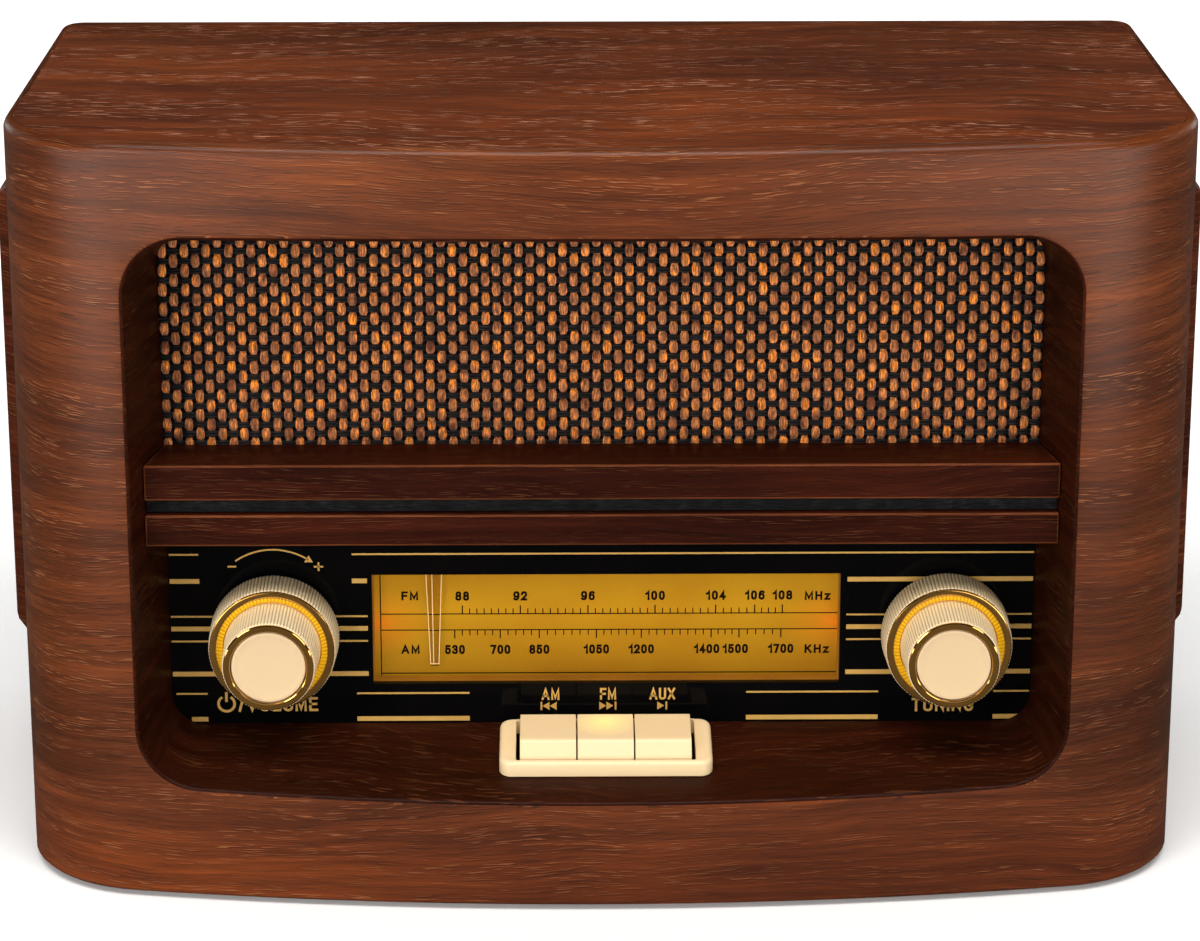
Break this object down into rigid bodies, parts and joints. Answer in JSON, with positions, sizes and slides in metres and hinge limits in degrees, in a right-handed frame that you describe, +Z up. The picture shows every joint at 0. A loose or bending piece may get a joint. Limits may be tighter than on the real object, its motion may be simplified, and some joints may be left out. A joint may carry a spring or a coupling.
{
  "type": "tabletop radio",
  "caption": "Retro tabletop radio: walnut cabinet with a bowed front, cloth speaker grille, lit dial with a sliding pointer, two ribbed knobs and push keys.",
  "frame": {"origin": "middle of the footprint, on the surface the feet stand on", "axes": "+X to the right seen from the front, +Y from the front to the back, +Z up"},
  "size_m": [0.3348, 0.17, 0.2125],
  "materials": {
    "walnut": "satin lacquered walnut veneer",
    "board": "raw fibreboard",
    "black_felt": "matt",
    "cloth": "coarse black and brown weave",
    "gloss_black": "high gloss",
    "clear": "clear acrylic",
    "amber": "lit from behind",
    "white_plastic": "satin",
    "lamp": "warm lamp",
    "steel": "plated",
    "cream": "satin",
    "gold": "gold anodised",
    "rubber": "matt",
    "black_plastic": "fine texture",
    "circuit_board": "solder mask",
    "ferrite": "dark sintered",
    "speaker_black": "black",
    "cord": "waxed cord"
  },
  "bodies": {
    "cabinet": {"front_frame": "walnut", "top_board": "walnut", "bottom_board": "walnut", "side_board_left": "walnut", "side_board_right": "walnut", "side_trim_left": "walnut", "side_trim_right": "walnut", "rear_cover": "black_plastic", "rear_screw_1": "steel", "rear_screw_2": "steel", "rear_screw_3": "steel", "rear_screw_4": "steel", "foot_1": "rubber", "foot_2": "rubber", "foot_3": "rubber", "foot_4": "rubber", "speaker_baffle": "board", "grille_cloth": "cloth", "upper_rail": "walnut", "groove_strip": "black_felt", "lower_rail": "walnut", "dial_plate": "gloss_black", "dial_window": "clear", "dial_scale": "amber", "light_box": "white_plastic", "dial_lamp_left": "lamp", "dial_lamp_right": "lamp", "guide_rod": "steel", "dial_chassis": "steel", "tuning_capacitor": "steel", "dial_cord": "cord", "volume_pot": "steel", "button_bezel": "cream", "key_board": "circuit_board", "speaker_left": "speaker_black", "speaker_right": "speaker_black", "main_board": "circuit_board", "ferrite_antenna": "ferrite", "antenna_bracket": "white_plastic", "power_inlet": "black_plastic", "aux_socket": "black_plastic"},
    "volume_knob": {"volume_skirt": "cream", "volume_dish": "gold", "volume_grip": "cream", "volume_ring": "gold", "volume_cap": "cream", "volume_shaft": "steel"},
    "tuning_knob": {"tuning_skirt": "cream", "tuning_dish": "gold", "tuning_grip": "cream", "tuning_ring": "gold", "tuning_cap": "cream", "tuning_shaft": "steel"},
    "dial_drum": {"tuning_drum": "white_plastic"},
    "dial_pointer": {"pointer": "clear", "pointer_carriage": "white_plastic"},
    "am_key": {"key_am": "cream"},
    "fm_key": {"key_fm": "cream"},
    "aux_key": {"key_aux": "cream"}
  },
  "joints": [
    {"name": "volume_turn", "type": "hinge", "parent": "cabinet", "child": "volume_knob", "pos_m": [-0.0906, -0.04625, 0.0655], "axis": [0, 1, 0], "range_deg": [0, 300]},
    {"name": "tuning_turn", "type": "hinge", "parent": "cabinet", "child": "tuning_knob", "pos_m": [0.0953, -0.04625, 0.0655], "axis": [0, 1, 0], "range_deg": [0, 1100]},
    {"name": "drum_turn", "type": "hinge", "parent": "cabinet", "child": "dial_drum", "pos_m": [0.01, -0.027, 0.0595], "axis": [0, 1, 0], "range_deg": [0, 184]},
    {"name": "pointer_slide", "type": "slide", "parent": "cabinet", "child": "dial_pointer", "axis": [1, 0, 0], "range_m": [0, 0.096]},
    {"name": "am_press", "type": "slide", "parent": "cabinet", "child": "am_key", "axis": [0, 0, -1], "range_m": [0, 0.0018], "stiffness_N_per_m": 500},
    {"name": "fm_press", "type": "slide", "parent": "cabinet", "child": "fm_key", "axis": [0, 0, -1], "range_m": [0, 0.0018], "stiffness_N_per_m": 500},
    {"name": "aux_press", "type": "slide", "parent": "cabinet", "child": "aux_key", "axis": [0, 0, -1], "range_m": [0, 0.0018], "stiffness_N_per_m": 500}
  ],
  "couplings": [
    {"joint": "drum_turn", "follows": "tuning_turn", "ratio": 0.16667},
    {"joint": "pointer_slide", "follows": "tuning_turn", "m_per_rad": 0.005}
  ]
}
